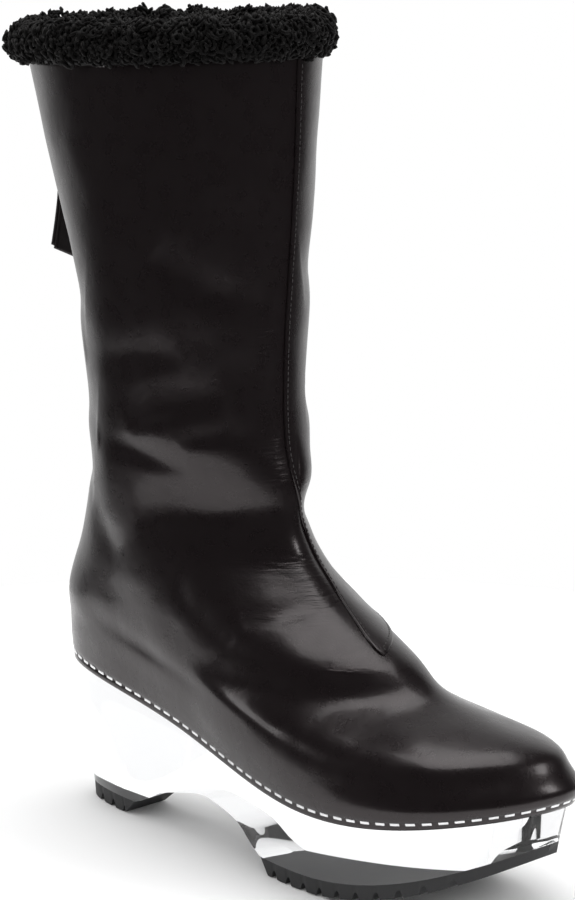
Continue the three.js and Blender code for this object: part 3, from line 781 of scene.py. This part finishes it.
heel_ends = ((sole_side(0.0, 0.0).x, sole_side(0.0, ROOF).x), (BREAST_X, BREAST_X))
tread_piece(
    "heel_tread_rubber", "heel_tread", heel_ends, heel_under, lambda x: ROOF,
    -LUG_PITCH, BREAST_X - TREAD_BEVEL, 90,
)
fore_toe = (side_foot(math.pi, fore_under).x, side_foot(math.pi, fore_over).x)
tread_piece(
    "forefoot_tread_rubber", "forefoot_tread", ((BALL_X, BALL_X), fore_toe), fore_under, fore_over,
    BALL_X + FIRST_LUG, PAST_TOE, 260,
)


# The insole is a fibre board that lies on the clear sole inside the boot. It is covered with a
# thin brushed sock, cut a little smaller than the last all round.
INSOLE = 3.0
INSOLE_INSET = 2.0
sock, sock_tree, sock_shader = new_finish(
    "insole_sock", Base_Color=(0.030, 0.027, 0.027, 1), Roughness=0.85, Sheen_Weight=0.3,
)
add_bump(sock_tree, add_noise(sock_tree, 0.8, 4.0), "Fac", 0.12, sock_shader)


def insole_rim(turn, high):
    """A point on the board's rim, at a height above its underside."""
    rim = last_point(turn, 1.0) + outward(turn, 1.0) * (SIDE_OFFSET - INSOLE_INSET)
    return rim + Vector((0, 0, CLEARANCE + high))


insole_sheets = join_sheets(
    sheet_of(120, 2, lambda across, up: insole_rim((across * TURN) % TURN, up * INSOLE)),
    sheet_of(60, 12, lambda across, up: rung(across, up, lambda turn: insole_rim(turn, 0.0))),
    sheet_of(60, 12, lambda across, up: rung(across, up, lambda turn: insole_rim(turn, INSOLE))),
)
insole = piece_from(insole_sheets, "insole_sock", sock, sharp=0.6, merge=0.00003)
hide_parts("insole")


# The cuff is sheared curly sheepskin folded over the collar: a soft lumpy roll, covered all over
# in small tight curls of black wool. It is split at the back, over the zip.
FLEECE_OUT_BACK = 8.0
FLEECE_OUT_FRONT = 4.0
FLEECE_IN = 8.0
FLEECE_UP = 15.0
FLEECE_DOWN = 3.2
FLEECE_SHEAR = 1.2
FLEECE_SPLIT = 5.0
CUFF_COLUMNS = 260
CUFF_ROWS = 26
CURLS = 3000
CURL = {"lock": 0.55, "radius": 1.15, "climb": 0.17, "wound": 7.4, "lean": 0.9}
CURL_STAND = (-0.2, 1.1)
CURL_SCALE = (0.85, 1.6)
CURL_START = -0.25
CURL_SPAN = 1.5
CLUMPS = ((2.2, 0.10), (2.6, 0.21))
wool, wool_tree, wool_shader = new_finish(
    "black_wool", Base_Color=(0.0030, 0.0026, 0.0026, 1), Roughness=0.55, Sheen_Weight=0.08,
    Sheen_Roughness=0.4, Sheen_Tint=(0.5, 0.46, 0.45, 1), IOR=1.25,
)
add_bump(wool_tree, add_noise(wool_tree, 0.5, 4.0), "Fac", 0.25, wool_shader)
split_turn = back_turn(FLEECE_SPLIT / 2, TOP)


def cuff_point(turn, lap, swell=0.0):
    """A point on the roll; lap goes round it from its outer side over the top."""
    side = outward(turn, TOP)
    side.z = 0.0
    side.normalize()
    out = mix(FLEECE_OUT_BACK, FLEECE_OUT_FRONT, (1 - math.cos(turn)) / 2)
    into = LEATHER + FLEECE_IN
    across = (out - into) / 2 + ((out + into) / 2 + swell) * math.cos(lap)
    high = (FLEECE_UP - FLEECE_DOWN) / 2 + ((FLEECE_UP + FLEECE_DOWN) / 2 + swell) * math.sin(lap)
    return last_point(turn, TOP) + side * across + Vector((0, 0, high))


def lump(place, lap):
    """How far the wool stands up in clumps: least underneath, where it is pressed flat."""
    clumps = sum(height * noise.noise(place * waves) for height, waves in CLUMPS)
    return clumps * (0.6 + 0.4 * math.sin(lap)) - FLEECE_SHEAR


def roll_place(around, lap_share):
    """A point on the lumpy roll, whose two ends at the split are drawn to a point and closed."""
    column = round(around * CUFF_COLUMNS)
    share = min(max(column - 1, 0) / (CUFF_COLUMNS - 2), 1.0)
    turn = mix(split_turn, TURN - split_turn, share)
    lap = (lap_share * TURN) % TURN
    if column in (0, CUFF_COLUMNS):
        return (cuff_point(turn, 0.0) + cuff_point(turn, math.pi)) / 2
    return cuff_point(turn, lap, lump(cuff_point(turn, lap), lap))


roll_sheet = sheet_of(CUFF_COLUMNS, CUFF_ROWS, roll_place)
roll = piece_from(roll_sheet, "fleece_roll", wool)
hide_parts("fleece_cuff")


def one_curl():
    """A single ringlet: a thin lock wound a little more than once round."""
    bm = bmesh.new()
    bmesh.ops.create_circle(bm, segments=5, radius=CURL["lock"] * MM, cap_ends=True)
    bmesh.ops.rotate(bm, verts=bm.verts, matrix=Matrix.Rotation(math.pi / 2, 3, "X"))
    bmesh.ops.translate(bm, verts=bm.verts, vec=(CURL["radius"] * MM, 0, 0))
    bmesh.ops.spin(
        bm, geom=bm.faces[:], cent=(0, 0, 0), axis=(0, 0, 1), dvec=(0, 0, CURL["climb"] * MM),
        angle=CURL["wound"], steps=9, use_duplicate=False,
    )
    bmesh.ops.recalc_face_normals(bm, faces=bm.faces)
    mesh = bpy.data.meshes.new("curl")
    bm.to_mesh(mesh)
    bm.free()
    return mesh


curl = one_curl()
chance = random.Random(11)
GOLDEN = math.pi * (3 - math.sqrt(5))
for name, start in (("fleece_curls_a", 0), ("fleece_curls_b", 1)):
    curls = bmesh.new()
    for i in range(start, CURLS, 2):
        turn = mix(split_turn, TURN - split_turn, (i + chance.random()) / CURLS)
        lap = (CURL_START + (i * GOLDEN / TURN % 1.0) * CURL_SPAN) * math.pi
        base = cuff_point(turn, lap)
        spot = cuff_point(turn, lap, lump(base, lap) + chance.uniform(*CURL_STAND))
        middle = (cuff_point(turn, 0.0) + cuff_point(turn, math.pi)) / 2
        tumble = Vector([chance.uniform(-CURL["lean"], CURL["lean"]) for _ in range(3)])
        lean = (spot - middle).normalized() + tumble
        turned = lean.to_track_quat("Z", "Y").to_matrix().to_4x4()
        size = Matrix.Scale(chance.uniform(*CURL_SCALE), 4)
        copy = curl.copy()
        copy.transform(Matrix.Translation(spot * MM) @ turned @ size)
        curls.from_mesh(copy)
        bpy.data.meshes.remove(copy)
    piece_from(curls, name, wool, merge=0.0)


# The zip closes the back of the shaft: a woven tape with two rows of moulded teeth, between two
# folded leather edges that are stitched down over it.
ZIP_LOW = 7.0
ZIP_HIGH = 14.75
TAPE_HALF = 3.6
TAPE_LIFT = 0.7
TAPE_THICKNESS = 0.4
TOOTH = (0.95, 2.4, 0.9)
TOOTH_ROUND = 0.2
TOOTH_LIFT = 0.35
TOOTH_PITCH = 2.0
TOOTH_OFF = 0.75
TOOTH_STEPS = 1200
tape, tape_tree, tape_shader = new_finish(
    "zip_tape", Base_Color=(0.016, 0.016, 0.018, 1), Roughness=0.7,
)
add_bump(tape_tree, add_noise(tape_tree, 0.5, 2.0, (1, 1, 0.5)), "Fac", 0.12, tape_shader)


def zip_spot(off, section, offset):
    """A spot off the centre back by so many millimetres, lifted off the leather."""
    return back_turn(off, section) % TURN, section, offset


def tape_spot(across, up):
    off = mix(-TAPE_HALF, TAPE_HALF, across)
    return zip_spot(off, mix(ZIP_LOW, ZIP_HIGH, up), TAPE_LIFT)


zip_tape = piece_from(leather_sheet(4, 120, tape_spot), "zip_tape", tape)
give_thickness(zip_tape, TAPE_THICKNESS)
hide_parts("zip_chain")

tooth_finish, tooth_tree, tooth_shader = new_finish(
    "zip_teeth", Base_Color=(0.05, 0.05, 0.053, 1), Metallic=0.6, Roughness=0.35,
)
add_bump(tooth_tree, add_noise(tooth_tree, 0.4, 2.0), "Fac", 0.02, tooth_shader)
tooth = rounded_bar(TOOTH, TOOTH_ROUND)
teeth = bmesh.new()
for side, start in ((-TOOTH_OFF, 0.0), (TOOTH_OFF, 0.5)):
    rail = []
    for i in range(TOOTH_STEPS):
        section = mix(ZIP_LOW + 0.03, ZIP_HIGH, (i + start) / TOOTH_STEPS)
        rail.append((back_turn(side, section) % TURN, section))
    set_along(teeth, tooth, rail, TOOTH_PITCH, TAPE_LIFT, TOOTH_LIFT)
piece_from(teeth, "zip_teeth", tooth_finish)

WELT_ROWS = 90
WELT = {"near": 2.3, "far": 5.6, "lift": 0.15, "roll": 1.25, "thickness": 0.5}
for name, side in (("zip_edge_outer", 1), ("zip_edge_inner", -1)):
    def edge_spot(across, up, side=side):
        off = side * mix(WELT["near"], WELT["far"], across)
        roll_up = math.sqrt(max(math.sin(math.pi * min(max(across, 0.02), 0.98)), 0.0))
        section = mix(ZIP_LOW - 0.25, TOP - 0.02, up)
        return zip_spot(off, section, WELT["lift"] + WELT["roll"] * roll_up)

    edge = piece_from(leather_sheet(8, WELT_ROWS, edge_spot), name, black_leather)
    give_thickness(edge, WELT["thickness"])


# The slider stands at the top of the zip: a satin metal shield round the teeth with a raised
# bridge, through which the pull ring hangs.
SLIDER_SECTION = 14.1
ZIP_THICKNESS = 1.6
SLIDER = (3.0, 9.0, 12.0)
SLIDER_ROUND = 0.8
SLIDER_TAPER = 0.62
BRIDGE_DEPTH = 3.2
BRIDGE_WIRE = 1.0
BRIDGE_RADIUS = 3.4
BRIDGE_SHAPE = (1.0, 1.2, 0.9)
seat_out = outward(0.0, SLIDER_SECTION)
seat = last_point(0.0, SLIDER_SECTION) + seat_out * (CLEARANCE * 2 + ZIP_THICKNESS)
seat_tilt = math.atan2(seat_out.z, -seat_out.x)
seat_turn = Matrix.Rotation(seat_tilt, 4, "Y")
satin_metal, metal_tree, metal_shader = new_finish(
    "satin_metal", Base_Color=(0.36, 0.36, 0.37, 1), Metallic=1.0, Roughness=0.28,
)
add_bump(metal_tree, add_noise(metal_tree, 0.35, 3.0), "Fac", 0.012, metal_shader)
slider = bmesh.new()
bmesh.ops.create_cube(slider, size=1.0)
bmesh.ops.scale(slider, vec=[s * MM for s in SLIDER], verts=slider.verts)
for vert in slider.verts:
    if vert.co.z < 0:
        vert.co.y *= SLIDER_TAPER
bmesh.ops.bevel(
    slider, geom=slider.edges[:], offset=SLIDER_ROUND * MM, segments=3, profile=0.5,
    affect="EDGES", material=-1,
)
bmesh.ops.translate(slider, verts=slider.verts, vec=(-SLIDER[0] / 2 * MM, 0, 0))
bridge = bmesh.new()
bmesh.ops.create_circle(bridge, segments=12, radius=BRIDGE_WIRE * MM, cap_ends=True)
bmesh.ops.translate(bridge, verts=bridge.verts, vec=(BRIDGE_RADIUS * MM, 0, 0))
bmesh.ops.rotate(bridge, verts=bridge.verts, matrix=Matrix.Rotation(math.pi / 2, 3, "X"))
bmesh.ops.spin(
    bridge, geom=bridge.faces[:], cent=(0, 0, 0), axis=(0, 1, 0), angle=math.pi, steps=14,
)
bmesh.ops.rotate(bridge, verts=bridge.verts, matrix=Matrix.Rotation(-math.pi / 2, 3, "Y"))
bmesh.ops.scale(bridge, vec=BRIDGE_SHAPE, verts=bridge.verts)
bmesh.ops.translate(bridge, verts=bridge.verts, vec=(-SLIDER[0] * MM, 0, 0))
slider = join_sheets(slider, bridge)
seated = Matrix.Translation(seat * MM) @ seat_turn
bmesh.ops.transform(slider, matrix=seated, verts=slider.verts)
slider_piece = piece_from(slider, "slider_metal", satin_metal, sharp=0.9, merge=0.0)
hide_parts("zip_slider")


# The pull is a metal wire ring that hangs from the slider's bridge, with a leather strip folded
# over its lower bar. The two tails widen downwards and are cut off on one slant, with the inner
# side longer.
PULL = {"width": 12.0, "height": 15.0, "wire": 1.8, "square": 0.45}
STRIP = {"length": 43.0, "top": 6.0, "end": 15.0, "thickness": 1.3, "slant": 6.5, "lag": 1.5}
STRIP_GAP = 0.85
STRIP_CLOSING = 2.2
STRIP_BOW = 1.2
STRIP_FLARE = 1.3
pin = seat + seat_turn.to_3x3() @ Vector((-(SLIDER[0] + BRIDGE_DEPTH / 2), 0, 0))


def squared(value):
    """Brings a circle's coordinate out towards a square with round corners."""
    return math.copysign(abs(value) ** PULL["square"], value)


def ring_place(around, lap_share):
    """A point on the wire ring; lap_share goes round the wire."""
    angle = around * TURN
    half_width = (PULL["width"] - PULL["wire"]) / 2
    half_height = (PULL["height"] - PULL["wire"]) / 2
    y, z = half_width * squared(math.cos(angle)), half_height * squared(math.sin(angle))
    path = Vector((0, y, z))
    out = Vector((0, path.y / half_width, path.z / half_height)).normalized()
    lap = lap_share * TURN
    wire = PULL["wire"] / 2
    thick = out * math.cos(lap) * wire + Vector((math.sin(lap) * wire, 0, 0))
    return pin + Vector((0, 0, -half_height)) + path + thick


ring_sheet = sheet_of(72, 10, ring_place)
pull_ring = piece_from(ring_sheet, "pull_ring", satin_metal, body="pull")
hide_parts("zip_pull")

strip_leather = leather_finish("strip_leather", (0.008, 0.0065, 0.0065, 1), 0.36, 0.04)
BAR_DROP = PULL["height"] - PULL["wire"]
FOLD = PULL["wire"] / 2 + CLEARANCE + STRIP["thickness"] / 2


def strip_place(across, along):
    """The strip runs up the outer tail, over the ring's lower bar and down the inner tail."""
    bend = FOLD * math.pi
    length = STRIP["length"]
    side = -1 if along < 0.5 else 1
    gone = abs(along - 0.5) * 2 * (length + bend / 2)
    slant = STRIP["slant"] * (across - 1) - (STRIP["lag"] if side < 0 else 0)
    if gone < bend / 2:
        angle = gone / FOLD
        x, drop, share = side * FOLD * math.sin(angle), -FOLD * math.cos(angle), 0.0
    else:
        share = (gone - bend / 2) / length
        drop = share * (length + slant)
        closed = min(share * STRIP_CLOSING, 1.0) ** 0.7
        x = side * mix(FOLD, STRIP_GAP, closed) - STRIP_BOW * share * share
    width = mix(STRIP["top"], STRIP["end"], share ** STRIP_FLARE)
    return pin + Vector((x, (across - 0.5) * width, -BAR_DROP - drop))


strip_sheet = sheet_of(10, 84, strip_place)
strip = piece_from(strip_sheet, "pull_strip_leather", strip_leather, body="pull")
give_thickness(strip, STRIP["thickness"])
strip.modifiers["thickness"].offset = 0
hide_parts("pull_strip")


# The stage is a plain pale floor under soft studio light, with the photo's view of the boot from
# its outer side and a little in front.
FLOOR_RADIUS = 450
FLOOR_MIDDLE = (80, 0, -0.4)
floor_bm = bmesh.new()
bmesh.ops.create_circle(floor_bm, segments=96, radius=FLOOR_RADIUS * MM, cap_ends=True)
floor_mesh = bpy.data.meshes.new("floor")
floor_bm.to_mesh(floor_mesh)
floor_bm.free()
floor_piece = bpy.data.objects.new("floor", floor_mesh)
bpy.context.scene.collection.objects.link(floor_piece)
floor_mesh.transform(Matrix.Translation(Vector(FLOOR_MIDDLE) * MM))
floor_paint = new_finish("floor_paint", Base_Color=(0.97, 0.97, 0.97, 1), Roughness=0.8)[0]
floor_mesh.materials.append(floor_paint)

# The studio is white, but what the boot's outside mirrors is dark except behind it, as between
# black screens: BEHIND is the bright direction, and BRIGHT the range over which it comes up
BEHIND = (-0.7071, 0.7071, 0.0)
BRIGHT = (0.35, 0.85)
SCREEN = 0.03
world = bpy.data.worlds.new("studio")
bpy.context.scene.world = world
world.use_nodes = True
sky = world.node_tree
plain = sky.nodes["Background"]
plain.inputs["Color"].default_value = (1, 1, 1, 1)
plain.inputs["Strength"].default_value = 1.0
dim = sky.nodes.new("ShaderNodeBackground")
paths = sky.nodes.new("ShaderNodeLightPath")
choose = sky.nodes.new("ShaderNodeMixShader")
outside = sky.nodes.new("ShaderNodeMath")
outside.operation = "LESS_THAN"
outside.inputs[1].default_value = 0.5
mirrored = sky.nodes.new("ShaderNodeMath")
mirrored.operation = "MULTIPLY"
direction = sky.nodes.new("ShaderNodeTexCoord")
behind = sky.nodes.new("ShaderNodeVectorMath")
behind.operation = "DOT_PRODUCT"
behind.inputs[1].default_value = BEHIND
ramp = sky.nodes.new("ShaderNodeMapRange")
ramp.interpolation_type = "SMOOTHSTEP"
ramp.inputs["From Min"].default_value = BRIGHT[0]
ramp.inputs["From Max"].default_value = BRIGHT[1]
ramp.inputs["To Min"].default_value = SCREEN
ramp.inputs["To Max"].default_value = 1.0
link(sky, paths, "Transmission Depth", outside, 0)
link(sky, paths, "Is Glossy Ray", mirrored, 0)
link(sky, outside, "Value", mirrored, 1)
link(sky, mirrored, "Value", choose, "Fac")
link(sky, plain, "Background", choose, 1)
link(sky, dim, "Background", choose, 2)
link(sky, choose, "Shader", sky.nodes["World Output"], "Surface")
link(sky, direction, "Generated", behind, 0)
link(sky, behind, "Value", ramp, "Value")
link(sky, ramp, "Result", dim, "Strength")

# Each lamp's name, place and aim in metres, size and power in watts
LIGHTS = (
    ("overhead", (0.15, 0.05, 1.35), (0.12, 0.0, 0.10), (1.00, 0.80), 7.5),
    ("outer_side", (-0.75, -1.05, 0.70), (0.05, 0.0, 0.15), (0.18, 0.45), 1.6),
    ("front", (1.25, 0.45, 0.85), (0.12, 0.0, 0.12), (0.30, 0.45), 3.0),
)
for name, place, aim, size, power in LIGHTS:
    lamp = bpy.data.lights.new(name, "AREA")
    lamp.shape = "RECTANGLE"
    lamp.size, lamp.size_y = size
    lamp.energy = power
    lamp_object = bpy.data.objects.new(name, lamp)
    lamp_object.location = place
    lamp_object.rotation_euler = (Vector(aim) - Vector(place)).to_track_quat("-Z", "Y").to_euler()
    bpy.context.scene.collection.objects.link(lamp_object)

# The photo's view, with the lens, aim, angles and distance that were fitted to the picture
camera_data = bpy.data.cameras.new("camera")
camera_data.sensor_fit = "VERTICAL"
camera_data.sensor_height = 36.0
camera_data.lens = 130.56
camera = bpy.data.objects.new("camera", camera_data)
AIM = Vector((124.9, -24.0, 178.5))
AZIMUTH, ELEVATION, DISTANCE = math.radians(45.0), math.radians(12.0), 1312.4
away = Vector((
    math.sin(AZIMUTH) * math.cos(ELEVATION),
    -math.cos(AZIMUTH) * math.cos(ELEVATION),
    math.sin(ELEVATION),
))
camera.location = (AIM + away * DISTANCE) * MM
camera.rotation_euler = (-away).to_track_quat("-Z", "Y").to_euler()
bpy.context.scene.collection.objects.link(camera)
bpy.context.scene.camera = camera
bpy.context.scene.view_settings.view_transform = "Standard"
